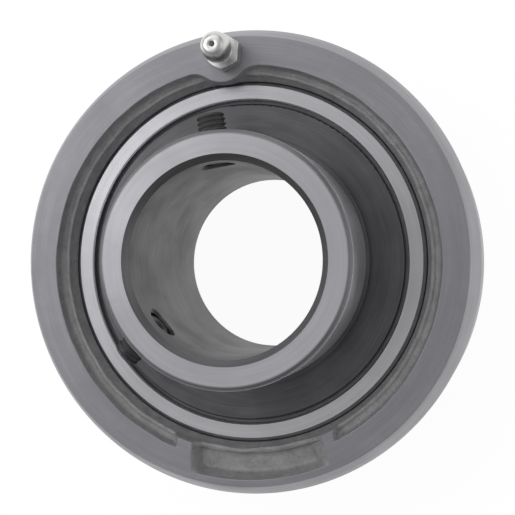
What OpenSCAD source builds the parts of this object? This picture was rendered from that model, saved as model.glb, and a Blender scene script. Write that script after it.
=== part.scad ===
// Cartridge bearing unit: an insert ball bearing that tilts in the spherical seat
// of a round cast housing. The origin is the bearing centre. +Z runs along the
// shaft axis towards the set screws, and the grease nipple stands on the +Y side.

/* [Housing] */
// Outside diameter of the housing, from which the rings and the bore follow by their walls
housing_d = 100; // [90:0.5:120]
// Radial thickness of the housing, from its outside to the ring's sphere
housing_wall = 10; // [9.5:0.1:11]
// Width of the housing along the shaft
housing_w = 30; // [29:0.5:34]
// Radial size of the chamfer on each outer edge
housing_chamfer_r = 2.1; // [1:0.1:2.3]
// Axial size of the chamfer on each outer edge
housing_chamfer_z = 4; // [1:0.1:5]
// Radial distance from the ring's sphere to the wall of the cast recess
recess_margin = 2.25; // [2:0.05:2.6]
// Depth of the cast recess below the end face
recess_depth = 2.4; // [2:0.1:3]
// Draft of the recess wall, as a radial distance
recess_draft = 0.25; // [0.1:0.05:0.4]
// Radius of the rough bead round the bore mouth
bead_round = 0.6; // [0.4:0.05:0.7]
// Height of the bead above the floor of the recess
bead_rise = 0.2; // [0.1:0.05:0.4]
// Radial distance from the ring's sphere to the middle of the bead
bead_margin = 0.4; // [0.3:0.05:0.6]

/* [Seat] */
// Width of the machined spherical seat
seat_w = 18.8; // [17.5:0.1:19.5]
// Gap between the seat and the ring's sphere, along a radius
seat_gap = 0.05; // [0.02:0.01:0.08]
// Width of the grease groove in the seat
seat_groove_w = 5; // [4.6:0.1:5.2]
// Depth of the grease groove in the seat
seat_groove_depth = 0.45; // [0.2:0.05:0.6]
// Extra width of each loading slot over the outer ring
slot_gap = 0.5; // [0.2:0.1:1]

/* [Cast pocket] */
// Depth of the pocket below the end face
pocket_depth = 3.7; // [3.2:0.1:4.2]
// Half width of the pocket at its floor
pocket_half = 12.7; // [10:0.1:14]
// Sideways run of the pocket's sloping end, on the +X side
pocket_end_run = 2.6; // [1:0.1:3]
// Sideways run of the pocket's steeper end, on the -X side
pocket_steep_run = 1.3; // [0.8:0.1:2]
// Angle by which the ends spread outwards
pocket_splay = 6; // [0:1:10]
// Width of the rim left outside the pocket
pocket_rim = 3.7; // [3.2:0.1:4.2]
// Draft of the pocket's outer wall, as a radial distance
pocket_draft = 0.9; // [0.4:0.1:1.4]
// Width of the rib at the sloping end of the pocket
pocket_rib_w = 1.7; // [0.8:0.1:2.4]
// Width of the rib at the steeper end of the pocket
pocket_wide_rib_w = 3; // [1.6:0.1:3.6]

/* [Grease nipple] */
// Radial distance from the ring's sphere to the nipple's axis
nipple_margin = 4.3; // [4.1:0.1:4.6]
// Radius of the nose of the boss under the nipple
boss_nose_r = 5.3; // [4.8:0.1:6]
// Radius of the hollow flanks by which the boss grows out of the recess wall
boss_flare_r = 5; // [3:0.1:7]
// Distance by which the boss reaches inside the radius of the ring's sphere
boss_reach = 1.6; // [1:0.1:2]
// Diameter of the nipple's thread
nipple_thread_d = 6; // [5.5:0.1:6.2]
// Length of the nipple's thread
nipple_thread_len = 6; // [5:0.1:6.3]
// Width across the flats of the nipple's hexagon
nipple_af = 7; // [6.6:0.1:7.4]
// Height of the nipple's hexagon
nipple_hex_h = 3.4; // [3:0.1:4]
// Turn of the nipple's hexagon about its own axis
nipple_turn = 22; // [0:1:60]
// Diameter of the nipple's head
nipple_head_d = 6.4; // [6:0.1:6.6]
// Height of the nipple above the face of the housing
nipple_h = 11; // [10.6:0.1:12]
// Diameter of the drilling below the nipple's thread
drill_d = 3; // [2.6:0.1:3.4]
// Diameter of the slanting drilling from there to the seat
slant_drill_d = 2.2; // [1.6:0.1:2.4]

/* [Bearing rings] */
// Radial thickness of the outer ring beside its raceway, up to its sphere
outer_wall = 6.2; // [5.8:0.1:6.6]
// Radial distance from each ring's shoulder to the circle through the ball centres
shoulder_gap = 3.8; // [3.6:0.05:4]
// Radial thickness of the inner ring beside its raceway, down to the bore
inner_wall = 6.2; // [5.9:0.1:6.5]
// Distance from the bearing centre to the front end of the inner ring
inner_front = 30.2; // [28:0.1:34]
// Distance from the bearing centre to the rear end of the inner ring
inner_rear = 19; // [17:0.1:22]
// Radius of the rounded outer edges of the inner ring
inner_edge = 1.1; // [0.6:0.1:1.4]
// Size of the chamfer at each end of the bore
bore_chamfer = 1.3; // [0.6:0.1:1.8]
// Size of the chamfer on the outer ring's outer edges
outer_ring_chamfer = 0.5; // [0.2:0.1:0.8]
// Radial step from the outer ring's shoulder to the recess for the seal
seal_step = 1.2; // [1:0.1:1.6]
// Depth of the recess for the seal
seal_recess_depth = 3; // [2.8:0.1:3.2]
// Gap along the shaft between the cage and the floor of the recess for the seal
seal_room = 0.527; // [0.5:0.001:0.7]
// Distance from the floor of the seal's recess to the middle of the grease groove
grease_inset = 1.3; // [1.1:0.05:1.4]

/* [Balls and cage] */
// Diameter of a ball
ball_d = 11.906; // [11.5:0.001:12.2]
// Gap between a ball and the bottom of each raceway
ball_gap = 0.047; // [0.02:0.001:0.06]
// Raceway radius as a share of the ball diameter
raceway_share = 0.524; // [0.515:0.001:0.53]
// Thickness of the cage sheet
cage_t = 0.9; // [0.6:0.05:1]
// Gap between a ball and its cage pocket
cage_pocket_gap = 0.12; // [0.08:0.01:0.2]
// Radial gap between the cage and the shoulders of both rings
cage_side_gap = 1.4; // [1:0.1:1.6]
// Diameter of a cage rivet
rivet_d = 1.6; // [1.2:0.1:1.8]
// Diameter of a rivet head
rivet_head_d = 2.8; // [2.4:0.1:3.2]
// Height of a rivet head
rivet_head_h = 0.7; // [0.4:0.05:0.9]

/* [Seals and flingers] */
// Thickness of the seal's steel shield
shield_t = 0.8; // [0.6:0.05:0.9]
// Radial distance from the inner ring to the shield's inner edge
shield_room = 1.9; // [1.7:0.1:2.2]
// Depth of the groove that holds the shield's edge
shield_groove = 0.5; // [0.3:0.05:0.8]
// Gap between the seal lip and the inner ring
lip_gap = 0.08; // [0.05:0.01:0.1]
// Thickness of the rubber over the shield's inner edge
lip_t = 0.4; // [0.2:0.05:0.45]
// Thickness of the flinger sheet
flinger_t = 0.8; // [0.6:0.05:1]
// Distance from the outer ring's face down to the flinger's disc
flinger_drop = 0.7; // [0.4:0.05:0.8]
// Gap between the flinger's edge and the outer ring
flinger_gap = 0.7; // [0.4:0.05:1.2]
// Height of the flinger's collar above its disc
flinger_collar_h = 1.4; // [0.8:0.1:3]
// Gap left in the solids between two pieces pressed together
press_gap = 0.02; // [0.01:0.005:0.03]

/* [Set screws] */
// Thread diameter of a set screw
screw_d = 6; // [5:0.1:8]
// Length of a set screw
screw_len = 10; // [8:0.1:12]
// Distance from the front end of the inner ring to the screw axis
screw_inset = 8; // [7:0.1:10]
// Distance from the bore wall back to the tip of a screw
screw_tip_back = 0.6; // [0.4:0.1:2]
// Gap between the screw and its hole, along a radius
screw_gap = 0.05; // [0.02:0.01:0.08]
// Width across the flats of the screw's socket
screw_socket_af = 3; // [2.5:0.1:3.5]
// Depth of the screw's socket
screw_socket_depth = 3.2; // [2:0.1:4]
// Angle of the first set screw about the shaft, from +X
screw_angle = 94.5; // [60:0.5:120]
// Angle between the two set screws
screw_spread = 121.5; // [90:0.5:150]
// Radial size of the countersink where each screw hole opens into the bore
screw_sink = 0.6; // [0.2:0.1:0.8]

/* [Hidden] */
$fn = 96;

// Cut-through allowance of tools that leave a face
cut = 1;
ball_count = 9;

// Radii of the housing and the rings, from the outside inwards
housing_r = housing_d / 2;
sphere_r = housing_r - housing_wall;
outer_land_r = sphere_r - outer_wall;
pitch_r = outer_land_r - shoulder_gap;
inner_r = pitch_r - shoulder_gap;
bore_r = inner_r - inner_wall;
seal_recess_r = outer_land_r + seal_step;

// Raceways, and heights from the balls to both faces of the outer ring
ball_r = ball_d / 2;
raceway_r = raceway_share * ball_d;
inner_race_mid = pitch_r - ball_r - ball_gap + raceway_r;
outer_race_mid = pitch_r + ball_r + ball_gap - raceway_r;
seal_floor = ball_r + cage_pocket_gap + cage_t + seal_room;
outer_half = seal_floor + seal_recess_depth;
// Middle of the outer ring's grease groove, between the raceway and the seal
grease_z = seal_floor - grease_inset;
grease_groove_w = 2;
grease_groove_depth = 0.5;
groove_floor_r = sqrt(pow(sphere_r, 2) - pow(grease_z, 2)) - grease_groove_depth;
grease_hole_d = 1.6;

// Housing
face_z = housing_w / 2;
recess_r = sphere_r + recess_margin;
floor_z = face_z - recess_depth;
pocket_floor_z = face_z - pocket_depth;
seat_r = sphere_r + seat_gap;
seat_half = seat_w / 2;
mouth_r = sqrt(pow(seat_r, 2) - pow(seat_half, 2));
bead_r = sphere_r + bead_margin;
// Radius and height inside the seat from which the casting's profile starts
core_depth = 2;
core_r = mouth_r - core_depth;
// Height at which the boss and ribs start, inside the solid casting
root_z = seat_half - 0.4;
// Radius from which the boss and ribs stand on the casting
foot_in_r = sphere_r + 0.2;
// Gap between the boss's nose and the ring's sphere, along the shaft
nose_gap = 0.1;
slot_half = outer_half + slot_gap / 2;

// Seals and flingers
shield_in_r = inner_r + shield_room;
shield_clear = 0.05;
shield_z = seal_floor + shield_clear;
flinger_top = outer_half - flinger_drop;
flinger_r = seal_recess_r - flinger_gap;

// Nipple
nipple_r = sphere_r + nipple_margin;
nipple_bore_r = 1.3;
nipple_ball_r = 1.2;
nipple_mouth_r = 1;
nipple_mouth_h = 0.6;
nipple_ball_clear = 0.03;
tip_z = face_z + nipple_h;
nipple_ball_z = tip_z - nipple_mouth_h - nipple_ball_clear
    - sqrt(pow(nipple_ball_r, 2) - pow(nipple_mouth_r, 2));
nipple_thread_gap = 0.05;
// Heights on the nipple's head: its under cone, its widest band, its top cone and its rounded tip
head_under = 1.4;
head_band = 1.2;
head_cone = 2.4;
head_tip = 0.4;
spring_foot = face_z - 1;
spring_top = nipple_ball_z - nipple_ball_r - 0.02;
spring_wire = 0.14;
spring_mean_r = 0.9;
spring_turns = 7;
spring_steps = 12;
spring_sides = 6;

// Set screws
screw_r = screw_d / 2;
screw_z = inner_front - screw_inset;
screw_chamfer = 0.6;
screw_end_chamfer = 0.4;

// Piece put at the nipple's axis
module at_nipple() {
    translate([0, nipple_r, 0])
        children();
}

// Copy on the other side of the bearing's mid-plane, in place of the first
module rear_side() {
    mirror([0, 0, 1])
        children();
}

// Corner waste of a rounded edge: what lies outside a circle in the corner at (0, 0)
module corner_waste(r) {
    difference() {
        translate([-r, -r])
            square(r + cut);
        translate([-r, -r])
            circle(r = r);
    }
}

// Half outline of the cast ring, before the seat is cut
module housing_outline() {
    top = [
        [mouth_r, seat_half],
        [bead_r - bead_round / 2, floor_z],
        [recess_r - recess_draft, floor_z],
        [recess_r, face_z],
        [housing_r - housing_chamfer_r, face_z],
        [housing_r, face_z - housing_chamfer_z]
    ];
    bottom = [for (i = [len(top) - 1:-1:0]) [top[i][0], -top[i][1]]];
    polygon(concat([[core_r, seat_half]], top, bottom, [[core_r, -seat_half]]));
    for (side = [0, 1])
        mirror([0, side])
            translate([bead_r, floor_z + bead_rise - bead_round])
                circle(r = bead_round, $fn = 32);
}

// Outline of the nipple's boss: a round nose between two hollow flanks, inside the recess wall
module boss_outline() {
    nose_y = sphere_r - boss_reach + boss_nose_r;
    // Middle of a flank's circle, which touches the recess wall and the nose
    flank_r = recess_r - boss_flare_r;
    flank_y = (pow(flank_r, 2) + pow(nose_y, 2) - pow(boss_nose_r + boss_flare_r, 2)) / (2 * nose_y);
    flank_x = sqrt(pow(flank_r, 2) - pow(flank_y, 2));
    stretch = (recess_r + 3 * cut) / flank_r;
    intersection() {
        union() {
            translate([0, nose_y])
                circle(r = boss_nose_r);
            difference() {
                polygon([
                    [0, nose_y],
                    [flank_x, flank_y],
                    [flank_x * stretch, flank_y * stretch],
                    [-flank_x * stretch, flank_y * stretch],
                    [-flank_x, flank_y]
                ]);
                for (side = [-1, 1])
                    translate([side * flank_x, flank_y])
                        circle(r = boss_flare_r);
            }
        }
        circle(r = recess_r + cut);
    }
}

// Boss under the nipple. Its nose hangs over the mouth of the seat, clear of the ring's sphere.
module boss() {
    nose_r = sphere_r - boss_reach;
    nose_z = sqrt(pow(seat_r, 2) - pow(nose_r, 2)) + nose_gap;
    translate([0, 0, face_z])
        mirror([0, 0, 1])
            linear_extrude(face_z - nose_z)
                boss_outline();
    translate([0, 0, root_z])
        linear_extrude(nose_z + 0.5 - root_z)
            difference() {
                boss_outline();
                circle(r = foot_in_r);
            }
}

// Space on the inner side of the pocket's +X end, which slopes out by a sideways run
module pocket_end(run) {
    slope = atan(run / pocket_depth);
    reach = 3 * pocket_half;
    translate([pocket_half, -recess_r, pocket_floor_z])
        rotate([0, slope, pocket_splay])
            translate([-reach, -reach / 2, -reach])
                cube([reach, reach, 2 * reach]);
}

// Space between both sloping ends of the pocket, above its floor
module pocket_span() {
    intersection() {
        pocket_end(pocket_end_run);
        mirror([1, 0, 0])
            pocket_end(pocket_steep_run);
        translate([-housing_r, -housing_r, pocket_floor_z])
            cube([2 * housing_r, housing_r, pocket_depth + cut]);
    }
}

// Cast pocket between the bead and the rim, opposite the nipple
module pocket() {
    outer_r = housing_r - pocket_rim;
    lift = pocket_draft * cut / pocket_depth;
    intersection() {
        pocket_span();
        translate([0, 0, pocket_floor_z])
            difference() {
                cylinder(h = pocket_depth + cut, r1 = outer_r - pocket_draft, r2 = outer_r + lift);
                translate([0, 0, -cut])
                    cylinder(h = pocket_depth + 3 * cut, r = bead_r + bead_round);
            }
    }
}

// Ribs that close the recess at both ends of the pocket
module pocket_ribs() {
    right = pocket_half + pocket_end_run + pocket_rib_w;
    left = pocket_half + pocket_steep_run + pocket_wide_rib_w;
    difference() {
        intersection() {
            translate([-left, -recess_r - cut, root_z])
                cube([left + right, recess_r, face_z - root_z]);
            translate([0, 0, root_z])
                difference() {
                    cylinder(h = face_z - root_z, r = recess_r + cut);
                    translate([0, 0, -cut])
                        cylinder(h = housing_w, r = foot_in_r);
                }
        }
        pocket_span();
        pocket_rib_waste(pocket_half - pocket_end_run);
    }
}

// Lower middle of the ribs' block, which leaves the recess floor and bead as cast
module pocket_rib_waste(half) {
    translate([-half, -housing_r, -face_z])
        cube([2 * half, housing_r, housing_w]);
}

// Slots in the rear side, through which the outer ring is put in edge first
module loading_slots() {
    intersection() {
        translate([0, 0, -face_z - cut])
            cylinder(h = face_z + cut, r = seat_r + 0.1);
        translate([-housing_r, -slot_half, -face_z - cut])
            cube([2 * housing_r, 2 * slot_half, face_z + cut]);
    }
}

// Threaded hole for the nipple and the drillings that lead to the seat's groove
module grease_drillings() {
    tap_r = nipple_thread_d / 2;
    tap_depth = nipple_thread_len + 0.5;
    groove_r = seat_r + seat_groove_depth;
    run = nipple_r - groove_r;
    overrun = 3;
    meet_z = grease_z - run;
    at_nipple() {
        translate([0, 0, face_z - tap_depth])
            cylinder(h = tap_depth + cut, r = tap_r);
        translate([0, 0, meet_z])
            cylinder(h = face_z - meet_z, d = drill_d);
    }
    // Slanting hole, drilled from the bore at 45 degrees
    translate([0, nipple_r, meet_z])
        rotate([45, 0, 0])
            cylinder(h = (run + overrun) * sqrt(2), d = slant_drill_d);
}

// Turned ring of the casting with the seat, its groove and the loading slots
module cast_ring() {
    difference() {
        rotate_extrude()
            housing_outline();
        sphere(r = seat_r);
        loading_slots();
        translate([0, 0, grease_z - seat_groove_w / 2])
            cylinder(h = seat_groove_w, r = seat_r + seat_groove_depth);
    }
}

module housing() {
    color("slategray")
        difference() {
            union() {
                cast_ring();
                boss();
                pocket_ribs();
            }
            pocket();
            grease_drillings();
        }
}

// Half outline of the nipple without its hexagon, from the thread's end to the tip
module nipple_outline() {
    thread_r = nipple_thread_d / 2 - nipple_thread_gap;
    head_r = nipple_head_d / 2;
    neck_r = head_r - 1;
    neck_z = face_z + nipple_hex_h;
    cone_z = tip_z - head_tip - head_cone;
    polygon([
        [0, face_z - nipple_thread_len],
        [thread_r - 0.5, face_z - nipple_thread_len],
        [thread_r, face_z - nipple_thread_len + 0.5],
        [thread_r, face_z],
        [neck_r + 0.5, face_z],
        [neck_r, neck_z],
        [neck_r, cone_z - head_band - head_under],
        [head_r, cone_z - head_band],
        [head_r, cone_z],
        [head_r - 1, tip_z - head_tip],
        [head_r - 1.4, tip_z],
        [0, tip_z]
    ]);
}

// Hollow of the nipple: mouth, ball chamber and lower drilling
module nipple_hollow() {
    polygon([
        [0, face_z - nipple_thread_len - cut],
        [0.8, face_z - nipple_thread_len - cut],
        [0.8, spring_foot],
        [nipple_bore_r, spring_foot],
        [nipple_bore_r, tip_z - nipple_mouth_h - 0.3],
        [nipple_mouth_r, tip_z - nipple_mouth_h],
        [nipple_mouth_r, tip_z + cut],
        [0, tip_z + cut]
    ]);
}

module grease_nipple() {
    hex_r = nipple_af / 2 / cos(30);
    bevel = hex_r - nipple_af / 2;
    color("gainsboro")
        at_nipple()
            difference() {
                union() {
                    rotate_extrude($fn = 64)
                        nipple_outline();
                    intersection() {
                        translate([0, 0, face_z])
                            rotate([0, 0, nipple_turn])
                                cylinder(h = nipple_hex_h, r = hex_r, $fn = 6);
                        translate([0, 0, face_z])
                            cylinder(h = nipple_hex_h, r1 = hex_r + nipple_hex_h, r2 = hex_r - bevel);
                    }
                }
                rotate_extrude($fn = 48)
                    nipple_hollow();
            }
}

module nipple_ball() {
    color("white")
        at_nipple()
            translate([0, 0, nipple_ball_z])
                sphere(r = nipple_ball_r, $fn = 48);
}

// Point on the spring's coil at a share t of its length, off the wire's middle by (out, up)
function coil_point(t, out, up) =
    let (turn = 360 * spring_turns * t, r = spring_mean_r + out)
    [
        r * cos(turn),
        r * sin(turn),
        spring_foot + spring_wire + (spring_top - spring_foot - 2 * spring_wire) * t + up
    ];

module nipple_spring() {
    rings = spring_turns * spring_steps;
    points = [
        for (i = [0:rings], j = [0:spring_sides - 1])
            let (a = 360 * j / spring_sides)
            coil_point(i / rings, spring_wire * cos(a), spring_wire * sin(a))
    ];
    sides = [
        for (i = [0:rings - 1], j = [0:spring_sides - 1])
            let (k = (j + 1) % spring_sides, a = i * spring_sides, b = a + spring_sides)
            each [[a + j, b + j, b + k], [a + j, b + k, a + k]]
    ];
    ends = [
        [for (j = [0:spring_sides - 1]) j],
        [for (j = [spring_sides - 1:-1:0]) rings * spring_sides + j]
    ];
    color("silver")
        at_nipple()
            polyhedron(points, concat(sides, ends), convexity = 10);
}

module outer_ring() {
    face_r = sqrt(pow(sphere_r, 2) - pow(outer_half, 2)) - outer_ring_chamfer;
    edge = sphere_r - face_r + cut;
    color("lightgray")
        difference() {
            intersection() {
                sphere(r = sphere_r);
                rotate_extrude()
                    polygon([
                        [outer_land_r, -outer_half],
                        [face_r, -outer_half],
                        [face_r + edge, edge - outer_half],
                        [face_r + edge, outer_half - edge],
                        [face_r, outer_half],
                        [outer_land_r, outer_half]
                    ]);
            }
            rotate_extrude()
                translate([outer_race_mid, 0])
                    circle(r = raceway_r);
            for (side = [0, 1])
                mirror([0, 0, side])
                    seal_seat();
            grease_groove();
            for (turn = [0, 180])
                rotate([-90, 0, turn])
                    translate([0, -grease_z, 0])
                        cylinder(h = sphere_r + cut, d = grease_hole_d, $fn = 32);
        }
}

// Recess in one face of the outer ring, with the groove for the shield's edge
module seal_seat() {
    translate([0, 0, seal_floor])
        cylinder(h = seal_recess_depth + cut, r = seal_recess_r);
    translate([0, 0, seal_floor])
        cylinder(h = shield_t + 2 * shield_clear, r = seal_recess_r + shield_groove);
    translate([0, 0, outer_half - 0.3])
        cylinder(h = 0.3 + cut, r1 = seal_recess_r, r2 = seal_recess_r + 0.3 + cut);
}

// Groove round the outer ring's sphere, which feeds its grease holes
module grease_groove() {
    translate([0, 0, grease_z - grease_groove_w / 2])
        difference() {
            cylinder(h = grease_groove_w, r = sphere_r + cut);
            translate([0, 0, -cut])
                cylinder(h = grease_groove_w + 2 * cut, r = groove_floor_r);
        }
}

module seal_shield() {
    color("darkgray")
        translate([0, 0, shield_z])
            difference() {
                cylinder(h = shield_t, r = seal_recess_r + shield_groove - shield_clear);
                translate([0, 0, -cut])
                    cylinder(h = shield_t + 2 * cut, r = shield_in_r);
            }
}

// Rubber moulded round the shield's inner edge, with a lip that slants out to the inner ring
module seal_lip() {
    top = shield_z + shield_t;
    rub_r = inner_r + lip_gap;
    color("dimgray")
        rotate_extrude()
            polygon([
                [shield_in_r + 1.2, shield_z],
                [shield_in_r, shield_z],
                [shield_in_r, top],
                [shield_in_r + 1.2, top],
                [shield_in_r + 1.2, top + lip_t],
                [shield_in_r - 0.7, top + lip_t],
                [rub_r, top + lip_t],
                [rub_r, top + lip_t - 0.3],
                [shield_in_r - 0.8, shield_z + 0.1],
                [shield_in_r - 0.8, shield_z - lip_t],
                [shield_in_r + 1.2, shield_z - lip_t]
            ]);
}

module inner_ring() {
    color("lightgray")
        difference() {
            rotate_extrude()
                inner_outline();
            rotate_extrude()
                translate([inner_race_mid, 0])
                    circle(r = raceway_r);
            for (turn = [screw_angle, screw_angle + screw_spread])
                at_screw(turn)
                    screw_hole();
        }
}

// Tapped hole for a set screw, with a countersunk mouth where it breaks into the bore
module screw_hole() {
    hole_r = screw_r + screw_gap;
    mouth_h = sqrt(pow(bore_r, 2) - pow(hole_r, 2));
    cylinder(h = inner_r + cut, r = hole_r);
    translate([0, 0, mouth_h - cut])
        cylinder(h = screw_sink + cut, r1 = hole_r + screw_sink + cut, r2 = hole_r);
}

// Half outline of the inner ring before its raceway is cut
module inner_outline() {
    difference() {
        polygon([
            [bore_r + bore_chamfer, -inner_rear],
            [inner_r, -inner_rear],
            [inner_r, inner_front],
            [bore_r + bore_chamfer, inner_front],
            [bore_r, inner_front - bore_chamfer],
            [bore_r, bore_chamfer - inner_rear]
        ]);
        translate([inner_r, inner_front])
            corner_waste(inner_edge);
        translate([inner_r, -inner_rear])
            mirror([0, 1])
                corner_waste(inner_edge);
    }
}

// Pressed steel flinger: a collar on the inner ring and a disc over the seal
module flinger() {
    collar_in_r = inner_r + press_gap;
    disc_z = flinger_top - flinger_t;
    color("gray")
        rotate_extrude()
            difference() {
                union() {
                    translate([collar_in_r, disc_z])
                        square([flinger_r - collar_in_r, flinger_t]);
                    translate([collar_in_r, disc_z])
                        square([flinger_t, flinger_t + flinger_collar_h]);
                }
                translate([flinger_r, flinger_top])
                    corner_waste(flinger_t / 2);
            }
}

// Turns a piece drawn along +Z so that it points outwards along a screw's axis
module at_screw(turn) {
    translate([0, 0, screw_z])
        rotate([0, 90, turn])
            children();
}

// Socket set screw with a cup point, from its tip to its socket end
module set_screw(turn) {
    tip_r = bore_r + screw_tip_back;
    cup_r = screw_r / 2;
    socket_r = screw_socket_af / 2 / cos(30);
    color([0.16, 0.16, 0.17])
        at_screw(turn)
            translate([0, 0, tip_r])
                difference() {
                    rotate_extrude($fn = 64)
                        polygon([
                            [0, cup_r * 0.6],
                            [cup_r, 0],
                            [screw_r - screw_chamfer, 0],
                            [screw_r, screw_chamfer],
                            [screw_r, screw_len - screw_end_chamfer],
                            [screw_r - screw_end_chamfer, screw_len],
                            [0, screw_len]
                        ]);
                    translate([0, 0, screw_len - screw_socket_depth])
                        cylinder(h = screw_socket_depth + cut, r = socket_r, $fn = 6);
                }
}

// Ball at place n of the ring of balls, where the first lies on +Y
module ball(n) {
    color("whitesmoke")
        rotate([0, 0, 90 + (n - 1) * 360 / ball_count])
            translate([pitch_r, 0, 0])
                sphere(r = ball_r);
}

// One pressed half of the cage: a flat ring with a round pocket over each ball
module cage_half() {
    pocket_r = ball_r + cage_pocket_gap;
    in_r = inner_r + cage_side_gap;
    out_r = outer_land_r - cage_side_gap;
    color("burlywood")
        difference() {
            intersection() {
                union() {
                    cylinder(h = cage_t, r = out_r + cut);
                    for (n = [1:ball_count])
                        at_ball(n)
                            sphere(r = pocket_r + cage_t, $fn = 64);
                }
                difference() {
                    cylinder(h = pocket_r + cage_t + cut, r = out_r);
                    translate([0, 0, -cut])
                        cylinder(h = pocket_r + cage_t + 3 * cut, r = in_r);
                }
            }
            for (n = [1:ball_count]) {
                at_ball(n)
                    sphere(r = pocket_r, $fn = 64);
                at_ball(n + 0.5)
                    translate([0, 0, -cut])
                        cylinder(h = cage_t + 2 * cut, d = rivet_d + 0.04, $fn = 32);
            }
        }
}

// Moves a piece to place n of the ring of balls, where halves lie between two balls
module at_ball(n) {
    rotate([0, 0, 90 + (n - 1) * 360 / ball_count])
        translate([pitch_r, 0, 0])
            children();
}

module cage_rivets() {
    color("silver")
        for (n = [1:ball_count])
            at_ball(n + 0.5) {
                translate([0, 0, -cage_t])
                    cylinder(h = 2 * cage_t, d = rivet_d, $fn = 32);
                rivet_head();
                rear_side()
                    rivet_head();
            }
}

// Domed rivet head on the outer face of the cage sheet
module rivet_head() {
    half = rivet_head_d / 2;
    dome_r = (pow(half, 2) + pow(rivet_head_h, 2)) / (2 * rivet_head_h);
    intersection() {
        translate([0, 0, cage_t + rivet_head_h - dome_r])
            sphere(r = dome_r, $fn = 48);
        translate([-half, -half, cage_t])
            cube([rivet_head_d, rivet_head_d, rivet_head_h + cut]);
    }
}

housing();
grease_nipple();
nipple_ball();
nipple_spring();
outer_ring();
seal_shield();  // seal_shield_front
rear_side() seal_shield();  // seal_shield_rear
seal_lip();  // seal_lip_front
rear_side() seal_lip();  // seal_lip_rear
inner_ring();
flinger();  // flinger_front
rear_side() flinger();  // flinger_rear
set_screw(screw_angle);  // set_screw_a
set_screw(screw_angle + screw_spread);  // set_screw_b
ball(1);  // ball_1
ball(2);  // ball_2
ball(3);  // ball_3
ball(4);  // ball_4
ball(5);  // ball_5
ball(6);  // ball_6
ball(7);  // ball_7
ball(8);  // ball_8
ball(9);  // ball_9
cage_half();  // cage_front
rear_side() cage_half();  // cage_rear
cage_rivets();
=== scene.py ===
import math
import bmesh
import bpy
import numpy as np
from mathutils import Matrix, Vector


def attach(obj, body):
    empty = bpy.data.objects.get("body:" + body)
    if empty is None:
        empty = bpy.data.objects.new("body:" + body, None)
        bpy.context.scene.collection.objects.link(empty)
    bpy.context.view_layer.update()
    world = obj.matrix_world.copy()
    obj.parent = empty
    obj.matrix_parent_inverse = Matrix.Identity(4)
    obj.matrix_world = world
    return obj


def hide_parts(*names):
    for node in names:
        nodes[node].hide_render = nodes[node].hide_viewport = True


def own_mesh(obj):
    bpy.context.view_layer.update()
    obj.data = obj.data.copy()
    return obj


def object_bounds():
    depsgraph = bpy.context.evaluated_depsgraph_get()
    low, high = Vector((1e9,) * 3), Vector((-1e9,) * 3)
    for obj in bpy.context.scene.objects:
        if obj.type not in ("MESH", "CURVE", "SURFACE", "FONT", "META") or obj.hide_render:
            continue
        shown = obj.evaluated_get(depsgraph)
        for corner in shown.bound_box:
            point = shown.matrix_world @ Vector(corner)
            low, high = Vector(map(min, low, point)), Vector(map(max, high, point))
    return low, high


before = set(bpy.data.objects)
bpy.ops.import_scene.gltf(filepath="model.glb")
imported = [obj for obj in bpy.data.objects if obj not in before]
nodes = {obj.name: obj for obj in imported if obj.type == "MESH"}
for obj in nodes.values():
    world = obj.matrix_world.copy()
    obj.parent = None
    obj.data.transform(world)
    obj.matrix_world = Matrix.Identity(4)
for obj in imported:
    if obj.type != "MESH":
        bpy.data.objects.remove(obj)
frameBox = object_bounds()
mm = 0.001
print("frame loaded:", len(nodes), "nodes")


# a shader node group with number sockets: its tree, its input node and its output node
def newGroup(name, inputs, outputs):
    tree = bpy.data.node_groups.new(name, "ShaderNodeTree")
    for label, value in inputs.items():
        socket = tree.interface.new_socket(label, in_out="INPUT", socket_type="NodeSocketFloat")
        socket.default_value = value
    for label in outputs:
        tree.interface.new_socket(label, in_out="OUTPUT", socket_type="NodeSocketFloat")
    return tree, tree.nodes.new("NodeGroupInput"), tree.nodes.new("NodeGroupOutput")


def plug(tree, value, socket):
    if isinstance(value, bpy.types.NodeSocket):
        tree.links.new(value, socket)
    else:
        socket.default_value = value


def calc(tree, operation, a, b=0.0, c=0.0):
    node = tree.nodes.new("ShaderNodeMath")
    node.operation = operation
    for value, socket in zip((a, b, c), node.inputs):
        plug(tree, value, socket)
    return node.outputs[0]


def times(tree, a, b):
    return calc(tree, "MULTIPLY", a, b)


def plus(tree, a, b):
    return calc(tree, "ADD", a, b)


def combine(tree, x, y, z):
    node = tree.nodes.new("ShaderNodeCombineXYZ")
    for value, socket in zip((x, y, z), node.inputs):
        plug(tree, value, socket)
    return node.outputs[0]


def objectSpace(tree):
    return tree.nodes.new("ShaderNodeTexCoord").outputs["Object"]


def splitVector(tree, vector):
    node = tree.nodes.new("ShaderNodeSeparateXYZ")
    tree.links.new(vector, node.inputs[0])
    return node.outputs


def noise(tree, vector, scale, detail=3.0, roughness=0.55):
    node = tree.nodes.new("ShaderNodeTexNoise")
    plug(tree, vector, node.inputs["Vector"])
    plug(tree, scale, node.inputs["Scale"])
    node.inputs["Detail"].default_value = detail
    node.inputs["Roughness"].default_value = roughness
    return node.outputs[0]


def ramp(tree, value, low, high, outLow=0.0, outHigh=1.0):
    node = tree.nodes.new("ShaderNodeMapRange")
    node.interpolation_type = "SMOOTHSTEP"
    plug(tree, value, node.inputs["Value"])
    labels = ("From Min", "From Max", "To Min", "To Max")
    for label, bound in zip(labels, (low, high, outLow, outHigh)):
        plug(tree, bound, node.inputs[label])
    return node.outputs[0]


def mixColour(tree, factor, a, b):
    node = tree.nodes.new("ShaderNodeMix")
    node.data_type = "RGBA"
    plug(tree, factor, node.inputs["Factor"])
    for value, socket in ((a, node.inputs[6]), (b, node.inputs[7])):
        plug(tree, value if isinstance(value, bpy.types.NodeSocket) else (*value, 1.0), socket)
    return node.outputs[2]


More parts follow.
